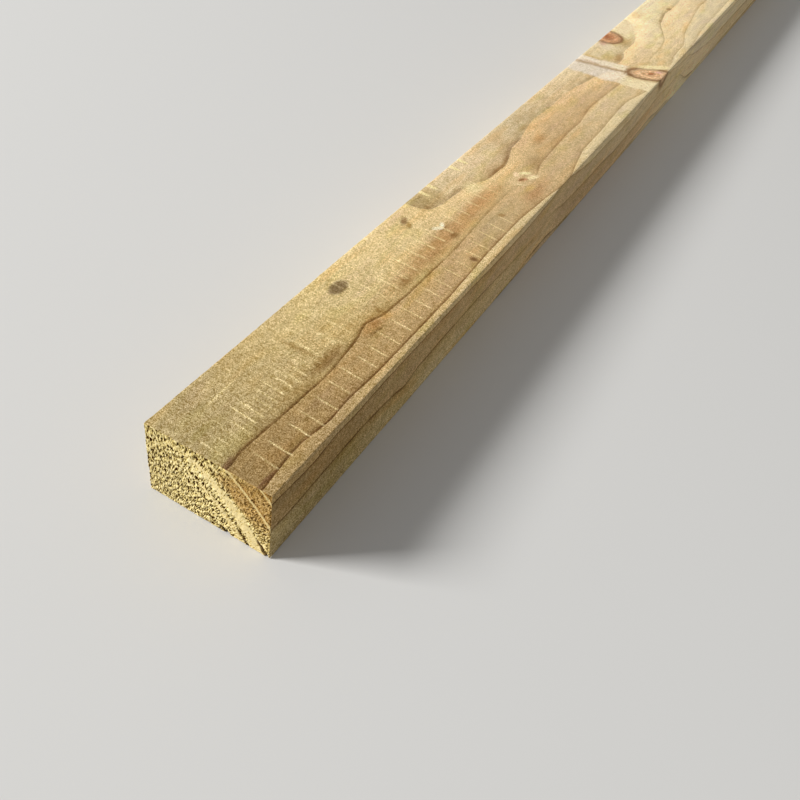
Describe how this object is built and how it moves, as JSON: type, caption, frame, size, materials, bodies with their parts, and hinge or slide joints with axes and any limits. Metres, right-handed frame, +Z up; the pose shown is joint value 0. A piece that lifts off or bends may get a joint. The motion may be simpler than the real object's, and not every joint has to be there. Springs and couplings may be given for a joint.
{
  "type": "timber batten",
  "caption": "Straight sawn softwood batten of rectangular section, cut square at both ends, with small ring checks at one end.",
  "frame": {"origin": "middle of the underside, the wide face that the batten lies on", "axes": "+X along the grain, from the end with the ring checks to the other end; +Y across the wide faces; +Z up, from the underside to the top face"},
  "size_m": [2.4, 0.038, 0.025],
  "materials": {
    "treated_softwood": "sawn, green-treated, dry and matte"
  },
  "bodies": {
    "root": {"batten": "treated_softwood"}
  },
  "joints": []
}
